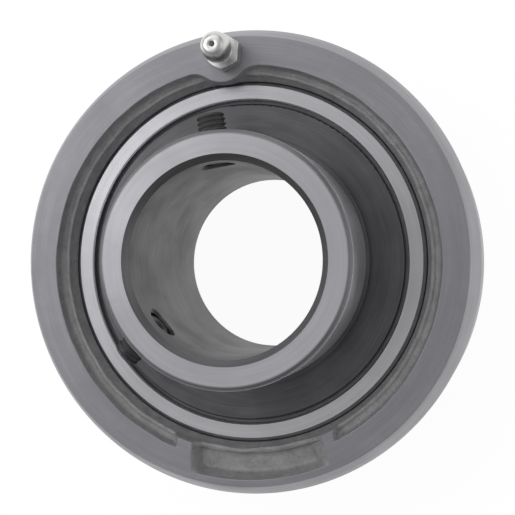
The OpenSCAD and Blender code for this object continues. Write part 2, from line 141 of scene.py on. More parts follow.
def radiusOf(tree, x, y):
    return calc(tree, "SQRT", plus(tree, times(tree, x, x), times(tree, y, y)))


# lathe marks round the Z axis: noise of radius plus height, drawn out along the turn
def buildTurned():
    coarseShare, tintLow, tintHigh = 0.13, 0.3, 0.7
    tree, given, put = newGroup("turnedMarks", {"Pitch": 0.12, "Drift": 1.5}, ("Height", "Tint"))
    x, y, z = splitVector(tree, objectSpace(tree))
    radius = radiusOf(tree, x, y)
    reach = calc(tree, "MAXIMUM", radius, 0.1 * mm)
    along = calc(tree, "DIVIDE", plus(tree, radius, z), times(tree, given.outputs["Pitch"], mm))
    across = times(tree, calc(tree, "DIVIDE", x, reach), given.outputs["Drift"])
    around = times(tree, calc(tree, "DIVIDE", y, reach), given.outputs["Drift"])
    fine = noise(tree, combine(tree, along, across, around), 1.0, 2.0)
    coarse = noise(tree, combine(tree, times(tree, along, coarseShare), across, around), 1.0, 2.0)
    tree.links.new(fine, put.inputs["Height"])
    both = times(tree, plus(tree, fine, coarse), 0.5)
    tree.links.new(ramp(tree, both, tintLow, tintHigh), put.inputs["Tint"])
    return tree


# sand-cast skin: coarse lumps, fine grains and small pits, each with how many there are in a
# grain's size and its share of the height, added up as one height
def buildGrain():
    lump = {"often": 0.35, "share": 0.5}
    fine = {"often": 1.6, "share": 0.35}
    pitted = {"often": 0.9, "share": 0.15, "edge": 0.35}
    tintLow, tintHigh = 0.35, 0.75
    tree, given, put = newGroup("castGrain", {"Size": 1.0}, ("Height", "Tint"))
    where = objectSpace(tree)
    perMetre = calc(tree, "DIVIDE", 1000.0, given.outputs["Size"])
    lumps = noise(tree, where, times(tree, perMetre, lump["often"]), 3.0)
    grains = noise(tree, where, times(tree, perMetre, fine["often"]), 4.0, 0.65)
    pits = tree.nodes.new("ShaderNodeTexVoronoi")
    tree.links.new(where, pits.inputs["Vector"])
    plug(tree, times(tree, perMetre, pitted["often"]), pits.inputs["Scale"])
    pit = ramp(tree, pits.outputs["Distance"], 0.0, pitted["edge"])
    height = plus(tree, times(tree, lumps, lump["share"]), times(tree, grains, fine["share"]))
    height = plus(tree, height, times(tree, pit, pitted["share"]))
    tree.links.new(height, put.inputs["Height"])
    tree.links.new(ramp(tree, height, tintLow, tintHigh), put.inputs["Tint"])
    return tree


# faint smudges and stains, as a finger or an oily cloth leaves them
def buildHandling():
    clean, smeared = 0.35, 0.68
    tree, given, put = newGroup("handling", {"Size": 18.0}, ("Amount",))
    scale = calc(tree, "DIVIDE", 1000.0, given.outputs["Size"])
    stain = noise(tree, objectSpace(tree), scale, 4.0, 0.6)
    tree.links.new(ramp(tree, stain, clean, smeared), put.inputs["Amount"])
    return tree


# one where the casting is left rough: inside the rim, below both faces and outside the seat, and
# one on the turned outside with its chamfers, where a lighter grey is painted light
def buildCastZone():
    limits = {"Face": 14.93, "Rim": 47.7, "Side": 47.9, "Seat": 40.25}
    tree, given, put = newGroup("castZone", limits, ("Rough", "OuterLit"))
    x, y, z = splitVector(tree, objectSpace(tree))
    flat = plus(tree, times(tree, x, x), times(tree, y, y))
    radius = calc(tree, "DIVIDE", calc(tree, "SQRT", flat), mm)
    height = calc(tree, "DIVIDE", calc(tree, "ABSOLUTE", z), mm)
    reach = calc(tree, "DIVIDE", calc(tree, "SQRT", plus(tree, flat, times(tree, z, z))), mm)
    inside = calc(tree, "LESS_THAN", radius, given.outputs["Rim"])
    below = calc(tree, "LESS_THAN", height, given.outputs["Face"])
    outside = calc(tree, "GREATER_THAN", reach, given.outputs["Seat"])
    tree.links.new(times(tree, times(tree, inside, below), outside), put.inputs["Rough"])
    outer = calc(tree, "GREATER_THAN", radius, given.outputs["Side"])
    tree.links.new(outer, put.inputs["OuterLit"])
    return tree


# one inside the shaft's bore and one on the rounded rim of the face, where darker greys are
# painted shade, and one on the outside, where a lighter grey is painted light
def buildRingZone():
    limits = {"Bore": 21.28, "Rim": 25.0, "Fade": 0.5, "Side": 26.1}
    tree, given, put = newGroup("ringZone", limits, ("Inside", "RimShade", "Outside"))
    x, y = splitVector(tree, objectSpace(tree))[:2]
    radius = radiusOf(tree, x, y)
    inside = calc(tree, "LESS_THAN", radius, times(tree, given.outputs["Bore"], mm))
    rim = times(tree, given.outputs["Rim"], mm)
    beyond = ramp(tree, radius, rim, plus(tree, rim, times(tree, given.outputs["Fade"], mm)))
    outside = calc(tree, "GREATER_THAN", radius, times(tree, given.outputs["Side"], mm))
    tree.links.new(inside, put.inputs["Inside"])
    tree.links.new(calc(tree, "SUBTRACT", beyond, outside), put.inputs["RimShade"])
    tree.links.new(outside, put.inputs["Outside"])
    return tree


groups = {
    "turned": buildTurned(),
    "grain": buildGrain(),
    "handling": buildHandling(),
    "castZone": buildCastZone(),
    "ringZone": buildRingZone(),
}
print("shader groups built:", len(groups))


def place(tree, key, **values):
    node = tree.nodes.new("ShaderNodeGroup")
    node.node_tree = groups[key]
    for label, value in values.items():
        plug(tree, value, node.inputs[label])
    return node.outputs


def newMaterial(name):
    material = bpy.data.materials.new(name)
    material.use_nodes = True
    tree = material.node_tree
    return material, tree, tree.nodes["Principled BSDF"]


def bump(tree, shader, height, distance):
    node = tree.nodes.new("ShaderNodeBump")
    node.inputs["Distance"].default_value = distance * mm
    tree.links.new(height, node.inputs["Height"])
    tree.links.new(node.outputs[0], shader.inputs["Normal"])


# turned or ground steel: two close greys along the marks, and a gloss that smudges change; on the
# inner ring a darker grey is painted shade in the bore and on the rounded rim, and a lighter grey
# is painted light on the outside
def turnedMetal(name, look):
    material, tree, shader = newMaterial(name)
    marks = place(tree, "turned", Pitch=look["pitch"], Drift=look["drift"])
    smudge = place(tree, "handling", Size=look["smudge"])
    shader.inputs["Metallic"].default_value = look.get("metal", 1.0)
    base = mixColour(tree, marks["Tint"], look["dark"], look["light"])
    base = mixColour(tree, times(tree, smudge["Amount"], look["stain"]), base, look["stainColour"])
    gloss = plus(tree, times(tree, smudge["Amount"], look["blur"]), look["rough"])
    if "bore" in look:
        zone = place(tree, "ringZone")
        # painted shade in the bore and on the rim, painted light on the outside
        for part, label in (("bore", "Inside"), ("rim", "RimShade"), ("side", "Outside")):
            where = zone[label]
            colour = mixColour(tree, marks["Tint"], look[part]["dark"], look[part]["light"])
            base = mixColour(tree, where, base, colour)
            gloss = plus(tree, gloss, times(tree, where, look[part]["rough"] - look["rough"]))
    tree.links.new(base, shader.inputs["Base Color"])
    tree.links.new(gloss, shader.inputs["Roughness"])
    if "spread" in look:  # round marks draw the gloss out across themselves
        acrossMarks = 0.25  # of a full turn
        shader.inputs["Anisotropic"].default_value = look["spread"]
        shader.inputs["Anisotropic Rotation"].default_value = acrossMarks
        around = tree.nodes.new("ShaderNodeTangent")
        around.direction_type = "RADIAL"
        around.axis = "Z"
        tree.links.new(around.outputs[0], shader.inputs["Tangent"])
    bump(tree, shader, marks["Height"], look["depth"])
    return material


# grey iron: machined where the tool went, sand-cast in the recesses
def castIron(name, look):
    material, tree, shader = newMaterial(name)
    marks = place(tree, "turned", Pitch=look["pitch"], Drift=look["drift"])
    grain = place(tree, "grain", Size=look["grain"])
    smudge = place(tree, "handling", Size=look["smudge"])
    zone = place(tree, "castZone")
    rough = zone["Rough"]
    cut = mixColour(tree, marks["Tint"], look["cutDark"], look["cutLight"])
    cut = mixColour(tree, times(tree, grain["Tint"], look["mottle"]), cut, look["cutDark"])
    cut = mixColour(tree, times(tree, smudge["Amount"], look["stain"]), cut, look["cutDark"])
    # a lighter grey on the outside and its chamfers: painted light
    outer = mixColour(tree, marks["Tint"], look["litOuterDark"], look["litOuterLight"])
    cut = mixColour(tree, zone["OuterLit"], cut, outer)
    skin = mixColour(tree, grain["Tint"], look["skinDark"], look["skinLight"])
    tree.links.new(mixColour(tree, rough, cut, skin), shader.inputs["Base Color"])
    metal = plus(tree, times(tree, rough, look["skinMetal"] - look["metal"]), look["metal"])
    tree.links.new(metal, shader.inputs["Metallic"])
    gloss = plus(tree, times(tree, rough, look["skinRough"] - look["cutRough"]), look["cutRough"])
    gloss = plus(tree, gloss, times(tree, smudge["Amount"], look["blur"]))
    tree.links.new(gloss, shader.inputs["Roughness"])
    fine = times(tree, marks["Height"], look["cutDepth"])
    share = plus(tree, times(tree, rough, look["skinDepth"] - look["cutGrain"]), look["cutGrain"])
    bump(tree, shader, plus(tree, fine, times(tree, grain["Height"], share)), 1.0)
    return material


# moulded rubber: nearly black, dusty in patches, with a fine matt grain
def sealRubber(name, look):
    material, tree, shader = newMaterial(name)
    grain = place(tree, "grain", Size=look["grain"])
    dust = place(tree, "handling", Size=look["dust"])
    dusty = times(tree, dust["Amount"], look["dusty"])
    base = mixColour(tree, dusty, look["black"], look["dustColour"])
    tree.links.new(base, shader.inputs["Base Color"])
    gloss = plus(tree, times(tree, grain["Tint"], look["blur"]), look["rough"])
    tree.links.new(gloss, shader.inputs["Roughness"])
    bump(tree, shader, grain["Height"], look["depth"])
    return material


ironLook = {
    "pitch": 0.25, "drift": 2.0, "grain": 0.9, "smudge": 22.0, "metal": 0.8, "skinMetal": 0.3,
    # the outside's lighter greys are painted light on the chamfers and the outer side
    "litOuterDark": (0.36, 0.36, 0.378), "litOuterLight": (0.45, 0.45, 0.473),
    "cutDark": (0.27, 0.27, 0.29), "cutLight": (0.35, 0.35, 0.375), "mottle": 0.5, "stain": 0.3,
    "skinDark": (0.25, 0.248, 0.252), "skinLight": (0.375, 0.371, 0.378),
    "cutRough": 0.45, "skinRough": 0.62, "blur": 0.08,
    "cutDepth": 0.006, "cutGrain": 0.03, "skinDepth": 0.2,
}
ringLook = {
    "pitch": 0.09, "drift": 1.2, "smudge": 15.0, "spread": 0.5, "rough": 0.26, "blur": 0.1,
    "dark": (0.45, 0.447, 0.47), "light": (0.53, 0.526, 0.553),
    "stain": 0.25, "stainColour": (0.4, 0.397, 0.405), "depth": 0.003,
}
innerLook = {
    **ringLook, "rough": 0.34,
    "dark": (0.415, 0.41, 0.437), "light": (0.48, 0.475, 0.505),
    "stainColour": (0.365, 0.362, 0.375),
    # darker greys in the bore and on the rounded rim are painted shade; the lighter grey on the
    # outside is painted light
    "bore": {"dark": (0.166, 0.165, 0.171), "light": (0.222, 0.22, 0.228), "rough": 0.45},
    "rim": {"dark": (0.19, 0.188, 0.198), "light": (0.25, 0.248, 0.26), "rough": 0.45},
    "side": {"dark": (0.58, 0.577, 0.6), "light": (0.7, 0.697, 0.725), "rough": 0.36},
}
flingerLook = {
    "pitch": 0.2, "drift": 2.0, "smudge": 12.0, "spread": 0.6, "rough": 0.4, "blur": 0.08,
    "dark": (0.11, 0.109, 0.116), "light": (0.155, 0.154, 0.163),
    "stain": 0.3, "stainColour": (0.1, 0.098, 0.1), "depth": 0.004,
}
shieldLook = {**flingerLook, "dark": (0.2, 0.2, 0.21), "light": (0.27, 0.27, 0.28), "metal": 0.4}
ballLook = {
    "pitch": 0.5, "drift": 3.0, "smudge": 4.0, "rough": 0.07, "blur": 0.06,
    "dark": (0.7, 0.7, 0.71), "light": (0.74, 0.74, 0.75),
    "stain": 0.15, "stainColour": (0.55, 0.53, 0.5), "depth": 0.0004,
}
cageLook = {
    **flingerLook, "drift": 6.0, "rough": 0.3,
    "dark": (0.46, 0.45, 0.43), "light": (0.55, 0.54, 0.52),
}
rivetLook = {**cageLook, "dark": (0.5, 0.49, 0.48), "light": (0.6, 0.59, 0.58)}
screwLook = {
    "pitch": 0.3, "drift": 8.0, "smudge": 3.0, "rough": 0.45, "blur": 0.14, "metal": 0.7,
    "dark": (0.07, 0.07, 0.07), "light": (0.12, 0.12, 0.12),
    "stain": 0.4, "stainColour": (0.1, 0.095, 0.09), "depth": 0.004,
}
nippleLook = {
    "pitch": 0.3, "drift": 9.0, "smudge": 3.5, "rough": 0.26, "blur": 0.14,
    "dark": (0.66, 0.66, 0.66), "light": (0.78, 0.78, 0.77),
    "stain": 0.35, "stainColour": (0.58, 0.58, 0.54), "depth": 0.004,
}
valveLook = {**screwLook, "rough": 0.25}
springLook = {**nippleLook, "dark": (0.5, 0.5, 0.5), "light": (0.6, 0.6, 0.6)}
rubberLook = {
    "grain": 0.4, "dust": 6.0, "dusty": 0.4, "black": (0.025, 0.025, 0.026),
    "dustColour": (0.08, 0.077, 0.072), "rough": 0.5, "blur": 0.15, "depth": 0.02,
}

finishes = {
    "castIron": castIron("castIron", ironLook),
    "ringSteel": turnedMetal("ringSteel", ringLook),
    "innerSteel": turnedMetal("innerSteel", innerLook),
    "valveSteel": turnedMetal("valveSteel", valveLook),
    "flingerSteel": turnedMetal("flingerSteel", flingerLook),
    "shieldSteel": turnedMetal("shieldSteel", shieldLook),
    "sealRubber": sealRubber("sealRubber", rubberLook),
    "ballSteel": turnedMetal("ballSteel", ballLook),
    "cageSteel": turnedMetal("cageSteel", cageLook),
    "rivetSteel": turnedMetal("rivetSteel", rivetLook),
    "screwSteel": turnedMetal("screwSteel", screwLook),
    "nippleZinc": turnedMetal("nippleZinc", nippleLook),
    "springSteel": turnedMetal("springSteel", springLook),
}

wears = {
    "castIron": ["housing"],
    "ringSteel": ["outer_ring"],
    "innerSteel": ["inner_ring"],
    "flingerSteel": ["flinger_front", "flinger_rear"],
    "shieldSteel": ["seal_shield_front", "seal_shield_rear"],
    "sealRubber": ["seal_lip_front", "seal_lip_rear"],
    "ballSteel": [f"ball_{n}" for n in range(1, 10)],
    "valveSteel": ["nipple_ball"],
    "cageSteel": ["cage_front", "cage_rear"],
    "rivetSteel": ["cage_rivets"],
    "screwSteel": ["set_screw_a", "set_screw_b"],
    "nippleZinc": ["grease_nipple"],
    "springSteel": ["nipple_spring"],
}
for finish, names in wears.items():
    for name in names:
        for slot in nodes[name].material_slots:
            slot.material = finishes[finish]
print("finishes put on:", len(finishes))


# a grid of points in mm, rows by columns, as one mesh whose columns close on themselves
def gridPiece(name, points, finish, loopRows):
    weld, crease = 0.0001, 40.0  # mm and degrees
    rows, columns = points.shape[:2]
    index = np.arange(rows * columns).reshape(rows, columns)
    here = index if loopRows else index[:-1]
    above = np.roll(index, -1, 0) if loopRows else index[1:]
    quads = np.stack([here, np.roll(here, -1, 1), np.roll(above, -1, 1), above], -1)
    mesh = bpy.data.meshes.new(name)
    mesh.from_pydata((points.reshape(-1, 3) * mm).tolist(), [], quads.reshape(-1, 4).tolist())
    if not loopRows:  # each end row lies in one point, which becomes a pole
        soup = bmesh.new()
        soup.from_mesh(mesh)
        bmesh.ops.remove_doubles(soup, verts=soup.verts, dist=weld * mm)
        soup.to_mesh(mesh)
        soup.free()
    mesh.shade_smooth()
    mesh.set_sharp_from_angle(angle=math.radians(crease))
    mesh.materials.append(finishes[finish])
    piece = bpy.data.objects.new(name, mesh)
    bpy.context.scene.collection.objects.link(piece)
    return piece


# sum of plane waves in seeded directions, mostly between -1 and 1
def waves(x, y, seed, length, count=14):
    shortest, longest = 0.6, 1.6
    draw = np.random.default_rng(seed)
    turn, phase = draw.uniform(0, 2 * math.pi, (2, count))
    pitch = 2 * math.pi / (length * draw.uniform(shortest, longest, count))
    total = np.zeros_like(x)
    for k in range(count):
        total += np.sin((x * math.cos(turn[k]) + y * math.sin(turn[k])) * pitch[k] + phase[k])
    return total / math.sqrt(2 * count)


# depth share of a wall at a distance inside its top edge: 0 on the face, an arc of the edge's
# radius, a straight run, an arc of the foot's radius, then 1 on the floor
def wallShare(distance, depth, run, edge, foot):
    bend = np.linspace(0, math.pi / 2, 9)
    across = np.concatenate([edge * (np.sin(bend) - 1), run + foot * (1 - np.cos(bend))])
    down = np.concatenate([edge * (1 - np.cos(bend)), depth - foot * (1 - np.sin(bend))])
    return np.interp(distance, across, down / depth)


housingLook = {
    "outer": 50.0, "face": 15.0, "chamferIn": 2.1, "chamferDown": 4.0, "corner": 0.12,
    "seat": 40.05, "mouth": 9.4, "grooveLow": 3.7, "grooveHigh": 8.7, "grooveRadius": 40.5,
    "slotHalf": 10.75, "slotRadius": 40.15,
    "floor": 12.6, "recess": 42.1, "recessRun": 0.25, "recessFoot": 1.0, "edge": 0.15,
    "bead": {
        "middle": 40.4, "half": 0.5, "high": 0.22,
        "wander": 0.1, "wanderSeed": 4, "wanderLength": 9.0,
        "swell": 0.2, "swellSeed": 5, "swellLength": 7.0, "waveRadius": 40.0,
    },
    "boss": {"turn": 1.2, "nose": 5.3, "flare": 5.0, "tip": 38.4},
    "pocket": {
        "radius": 46.3, "run": 0.9, "foot": 0.9, "from": 42.25, "floor": 11.3,
        "left": 14.0, "leftLean": 0.075, "leftRun": 1.25,
        "right": 15.3, "rightLean": 0.2, "rightRun": 2.6, "rightNarrow": 0.23, "leastRun": 1.0,
        "ridge": 40.95, "ridgeRun": 0.35, "ridgeLeft": -15.6, "ridgeRight": 16.7,
    },
    "rib": {
        "side": 17.0, "run": 0.5, "foot": 1.3, "inner": 40.2, "innerRun": 0.2, "innerFoot": 0.3,
    },
    "uneven": {
        "offX": 0.15, "offY": -0.4,
        "edge": 0.07, "edgeSeeds": (1, 2), "edgeLength": 8.0, "edgeRadius": 42.0,
        "floor": 0.06, "floorSeeds": (6, 7), "floorLength": 3.0, "floorFrom": 39.6,
    },
    "rows": {  # where the rings of points lie: radii, then shares of a wall or a rim
        "inner": (39.15, 39.4, 39.65, 39.85, 39.95, 40.04, 40.12, 40.2, 40.3, 40.42, 40.55, 40.7,
                  40.84, 40.96, 41.04, 41.12, 41.2, 41.28, 41.4, 41.7, 42.1, 42.7, 43.5, 44.3),
        "wall": (1.0, 0.86, 0.72, 0.58, 0.45, 0.33, 0.22, 0.13, 0.06, 0.015),
        "beyond": (0.03, 0.08, 0.16, 0.27, 0.45), "rim": (0.2, 0.5, 0.8, 1.0),
        "tight": 0.001, "margin": 0.1, "before": 0.06, "ribGap": 0.4, "ribBlend": 2.0,
    },
}


# radius of the recess wall in each direction: the recess circle, but at the boss a round nose
# between two hollow circles that touch the nose and the recess circle
def recessEdge(turn, look):
    boss, recess = look["boss"], look["recess"]
    noseY, hollowR = boss["tip"] + boss["nose"], recess - boss["flare"]
    hollowY = (hollowR**2 + noseY**2 - (boss["nose"] + boss["flare"])**2) / (2 * noseY)
    hollowX = math.sqrt(hollowR**2 - hollowY**2)
    lean = np.abs((turn - 90 - boss["turn"] + 180) % 360 - 180)
    side, up = np.sin(np.radians(lean)), np.cos(np.radians(lean))
    nose = noseY * up - np.sqrt(np.maximum(boss["nose"]**2 - (noseY * side)**2, 0))
    reach = hollowX * side + hollowY * up
    hollow = reach + np.sqrt(np.maximum(boss["flare"]**2 - hollowR**2 + reach**2, 0))
    share = boss["nose"] / (boss["nose"] + boss["flare"])
    noseEnd = math.degrees(math.atan2(hollowX * share, noseY + (hollowY - noseY) * share))
    hollowEnd = math.degrees(math.atan2(hollowX, hollowY))
    return np.where(lean < noseEnd, nose, np.where(lean < hollowEnd, hollow, recess))


# height of the seat's mouth, the bead and both floors at a radius, before any wall stands on them:
# the bead is a parabola over the recess floor, and the pocket's floor lies lower behind a ridge
def castBase(radius, turn, look, front):
    bead, pocket = look["bead"], look["pocket"]
    mouthR = math.sqrt(look["seat"]**2 - look["mouth"]**2)
    ball = np.sqrt(np.maximum(look["seat"]**2 - radius**2, 0))
    slope = (look["floor"] - look["mouth"]) / (look["slotRadius"] - 0.1 - mouthR)
    low = np.minimum(look["mouth"] + slope * (radius - mouthR), look["floor"])
    low = np.where(radius < mouthR, ball, low)
    cosT, sinT = np.cos(np.radians(turn)), np.sin(np.radians(turn))
    ringX, ringY = bead["waveRadius"] * cosT, bead["waveRadius"] * sinT
    wander = waves(ringX, ringY, bead["wanderSeed"], bead["wanderLength"])
    swell = waves(ringX, ringY, bead["swellSeed"], bead["swellLength"])
    middle = bead["middle"] + bead["wander"] * wander
    high = bead["high"] * (1 + bead["swell"] * swell)
    part = np.maximum(1 - ((radius - middle) / bead["half"])**2, 0)
    base = np.maximum(low, np.where(part > 0, look["floor"] + high * part, 0))
    if front:
        x = radius * cosT
        rightEnd = np.clip((pocket["ridgeRight"] - x) * 2, 0, 1)
        over = np.clip(x - pocket["ridgeLeft"], 0, 1) * rightEnd * (sinT < 0)
        down = np.clip((radius - pocket["ridge"]) / pocket["ridgeRun"], 0, 1)
        base = base - (look["floor"] - pocket["floor"]) * over * down**2 * (3 - 2 * down)
    return base


# depth share of the recess wall at a radius, where lean is the cosine of the wall's slant
def recessShare(radius, edge, lean, look):
    depth = look["face"] - look["floor"]
    inside = (edge - radius) * lean
    return wallShare(inside, depth, look["recessRun"], look["edge"], look["recessFoot"])


# depth share of the front's cavities at a point: the recess between the ribs, the pocket, and
# the gap inside the ribs, where the deepest counts
def frontShare(x, y, radius, edge, lean, look):
    pocket, rib = look["pocket"], look["rib"]
    depth, deep = look["face"] - look["floor"], look["face"] - pocket["floor"]
    recess = recessShare(radius, edge, lean, look)
    clear = 9.0  # further in than any wall reaches
    beyond = np.where(y < 0, np.abs(x) - rib["side"], clear)
    recess = recess * wallShare(beyond, depth, rib["run"], look["edge"], rib["foot"])
    out = -y - pocket["from"]
    left = x + pocket["left"] + pocket["leftLean"] * out
    right = pocket["right"] + pocket["rightLean"] * out - x
    rightRun = pocket["rightRun"] - pocket["rightNarrow"] * out
    share = wallShare(pocket["radius"] - radius, deep, pocket["run"], look["edge"], pocket["foot"])
    share = share * wallShare(left, deep, pocket["leftRun"], look["edge"], pocket["foot"])
    right = right * pocket["leftRun"] / np.maximum(rightRun, pocket["leastRun"])
    share = share * wallShare(right, deep, pocket["leftRun"], look["edge"], pocket["foot"])
    gap = rib["inner"] - radius
    inner = wallShare(gap, depth, rib["innerRun"], look["edge"], rib["innerFoot"])
    return np.where(y < 0, np.maximum(np.maximum(recess, share), inner), recess)


# rows of one end of the casting, from the seat's mouth out to the chamfer: radii that bunch
# where walls stand, and heights that mix base and face by the depth share
def endRows(turn, look, front):
    uneven, rows = look["uneven"], look["rows"]
    tight, margin, blend = rows["tight"], rows["margin"], rows["ribBlend"]
    way = 0 if front else 1
    mouthR = math.sqrt(look["seat"]**2 - look["mouth"]**2)
    cosT, sinT = np.cos(np.radians(turn)), np.sin(np.radians(turn))
    edge = recessEdge(turn, look) if front else np.full_like(turn, look["recess"])
    if front:  # the cast recess lies slightly off the turned seat
        share = (edge - look["boss"]["tip"]) / (look["recess"] - look["boss"]["tip"])
        edge = edge + (uneven["offX"] * cosT + uneven["offY"] * sinT) * share
    ringX, ringY = uneven["edgeRadius"] * cosT, uneven["edgeRadius"] * sinT
    ragged = waves(ringX, ringY, uneven["edgeSeeds"][way], uneven["edgeLength"])
    edge = edge + uneven["edge"] * ragged
    slope = np.gradient(edge, np.radians(turn)) / edge
    lean = 1 / np.sqrt(1 + slope**2)
    bunch, reach = edge, (look["recessRun"] + look["recessFoot"] + margin) / lean
    if front:  # over the pocket the rows bunch at its outer wall instead
        pocket, ribEnd = look["pocket"], look["rib"]["side"] - rows["ribGap"]
        side = np.where(sinT < 0, np.abs(edge * cosT), look["outer"])
        over = np.clip((ribEnd - side) / blend, 0, 1)
        bunch = edge + (pocket["radius"] - edge) * over
        reach = reach + (pocket["run"] + pocket["foot"] + margin - reach) * over
    inner = rows["inner"]
    start = np.minimum(mouthR, bunch - rows["before"])
    foot = np.maximum(bunch - reach, start + tight * (len(inner) + 1))
    radii = [start]
    radii += [np.minimum(r, foot - tight * (len(inner) - k)) for k, r in enumerate(inner)]
    radii = [np.maximum(r, start + tight * k) for k, r in enumerate(radii)]
    for k, part in enumerate(rows["wall"]):
        radii.append(np.maximum(bunch - part * reach, foot + tight * (k + 1)))
    radii += [bunch + step for step in rows["beyond"]]
    rimR = look["outer"] - look["chamferIn"]
    last = radii[-1]
    radii += [last + (rimR - look["corner"] - last) * part for part in rows["rim"]]
    radius = np.stack(radii)
    x, y = radius * cosT, radius * sinT
    base = castBase(radius, turn, look, front)
    if front:
        share = frontShare(x, y, radius, edge, lean, look)
    else:
        share = recessShare(radius, edge, lean, look)
    height = base + (look["face"] - base) * (1 - share)
    rough = np.clip(radius - uneven["floorFrom"], 0, 1) * np.clip(share * 2 - 0.6, 0, 1)
    lumps = waves(x, y, uneven["floorSeeds"][way], uneven["floorLength"])
    height = height + uneven["floor"] * rough * lumps
    down, inward, corner = look["chamferDown"], look["chamferIn"], look["corner"]
    shares = (corner / inward, 1 - corner / inward)
    edges = [(rimR + inward * part, look["face"] - down * part) for part in shares]
    edges.append((look["outer"], look["face"] - down - corner))
    radius = np.concatenate([radius, [np.full_like(turn, r) for r, z in edges]])
    height = np.concatenate([height, [np.full_like(turn, z) for r, z in edges]])
    return radius, height


# closed skin of the casting: front rows outwards, outside down, rear rows inwards, seat upwards
def housingSkin(look):
    spans = (  # from, to and step in degrees, finer at the boss and at the pocket's ends
        (0, 74, 1.0), (74, 110, 0.22), (110, 244, 1.0), (244, 256, 0.12), (256, 283, 0.5),
        (283, 299, 0.12), (299, 360, 1.0),
    )
    turn = np.concatenate([np.arange(low, high, step) for low, high, step in spans])
    slotTurn = math.degrees(math.asin(look["slotHalf"] / look["slotRadius"]))
    corners = [side + way * slotTurn for side in (0, 180, 360) for way in (-1, 1)]
    edges = [corner + nudge for corner in corners for nudge in (-0.03, 0.03)]
    turn = np.unique(np.concatenate([turn, [value for value in edges if 0 < value < 360]]))
    cosT, sinT = np.cos(np.radians(turn)), np.sin(np.radians(turn))
    frontR, frontZ = endRows(turn, look, True)
    rearR, rearZ = endRows(turn, look, False)
    sideZ = np.linspace(frontZ[-1, 0], -rearZ[-1, 0], 8)[1:-1]
    sideR = np.full_like(sideZ, look["outer"])
    high, low = look["grooveHigh"], look["grooveLow"]
    top = np.sqrt(look["seat"]**2 - frontR[0]**2)
    seatZ = [high + 0.02 + (top - high - 0.02) * part for part in (0.999, 0.6, 0.3, 0.0)]
    flats = [high, high - 0.01, (high + low) / 2, low + 0.01, low, 2.8, 1.9, 1.0, 0.3, 0.02, -0.02]
    flats += list(-np.linspace(0.8, look["mouth"] - 0.01, 12))
    seatZ = np.stack(seatZ + [np.full_like(turn, z) for z in flats])
    seatR = np.sqrt(look["seat"]**2 - seatZ**2)
    seatR = np.where((seatZ < high - 0.005) & (seatZ > low + 0.005), look["grooveRadius"], seatR)
    sideR, sideZ = [np.repeat(value[:, None], len(turn), 1) for value in (sideR, sideZ)]
    radius = np.concatenate([frontR, sideR, rearR[::-1], seatR[::-1]])
    height = np.concatenate([frontZ, sideZ, -rearZ[::-1], seatZ[::-1]])
    slot = (np.abs(look["slotRadius"] * sinT) < look["slotHalf"]) & (height < 0)
    radius = np.where(slot, np.maximum(radius, look["slotRadius"]), radius)
    points = np.stack([radius * cosT, radius * sinT, height], -1)
    return gridPiece("housingSkin", points[::-1], "castIron", True)


skin = housingSkin(housingLook)
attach(skin, "housing")
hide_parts("housing")
print("housing skin:", len(skin.data.polygons), "faces")


# depth share of a thread: a triangle wave of height less turn, with its crest and root cut flat
def threadShare(height, turn, pitch, steep, crest):
    wave = np.abs((height / pitch - turn / (2 * math.pi) + 0.5) % 1 - 0.5) * 2
    return np.clip(wave * steep - crest, 0, 1)


setScrewShape = {
    "pieces": {"set_screw_a": 94.5, "set_screw_b": 216.0}, "height": 22.2, "tip": 20.6,
    "length": 10.0, "radius": 3.0, "around": 6.0,
    "pitch": 1.0, "thread": 0.42, "steep": 1.25, "crest": 0.1, "steps": 12,
    "chamfer": 0.6, "endChamfer": 0.4, "cup": 1.5, "cupDepth": 0.9, "cupBend": 0.55,
    "flats": 3.0, "socket": 3.2, "lead": 0.25, "drillTip": 0.5, "drillCone": 0.3,
}


# set screw along its own axis: a cup, a thread, an end face, and a six-sided socket whose radius
# is half the flats over a cosine
def screwPiece(name, turn, look):
    around = np.radians(np.arange(0, 360, look["around"]))
    ones = np.ones_like(around)
    length, radius, pitch = look["length"], look["radius"], look["pitch"]
    cup, deep, tip = look["cup"], look["cupDepth"], look["drillTip"]
    z = np.arange(0.05, length - 0.02, pitch / look["steps"])
    cut = threadShare(z[:, None], around, pitch, look["steep"], look["crest"])
    thread = radius - look["thread"] * cut
    taper = np.minimum(radius - look["chamfer"] + z, radius - look["endChamfer"] + (length - z))
    thread = np.minimum(thread, taper[:, None])
    hexR = look["flats"] / 2 / np.cos((around + math.pi / 6) % (math.pi / 3) - math.pi / 6)
    lip = look["flats"] / math.sqrt(3) + 0.05
    low = length - look["socket"]
    start = [(0, deep), (cup / 2, deep * look["cupBend"]), (cup, 0.0)]
    start.append((radius - look["chamfer"], 0.0))
    end = [(radius - look["endChamfer"], length), (lip, length), (hexR, length - look["lead"]),
           (hexR, low), (tip, low - look["drillCone"]), (0, low - tip)]
    rowsR = np.concatenate([[r * ones for r, h in start], thread, [r * ones for r, h in end]])
    rowsH = np.concatenate([[h for r, h in start], z, [h for r, h in end]])[:, None] * ones
    out = rowsH + look["tip"]
    across, up = rowsR * np.sin(around), -rowsR * np.cos(around) + look["height"]
    cosT, sinT = math.cos(math.radians(turn)), math.sin(math.radians(turn))
    points = np.stack([out * cosT - across * sinT, out * sinT + across * cosT, up], -1)
    return gridPiece(name, points, "screwSteel", False)


for name, turn in setScrewShape["pieces"].items():
    screw = screwPiece(name + "_thread", turn, setScrewShape)
    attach(screw, name)
    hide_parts(name)
print("set screws threaded")

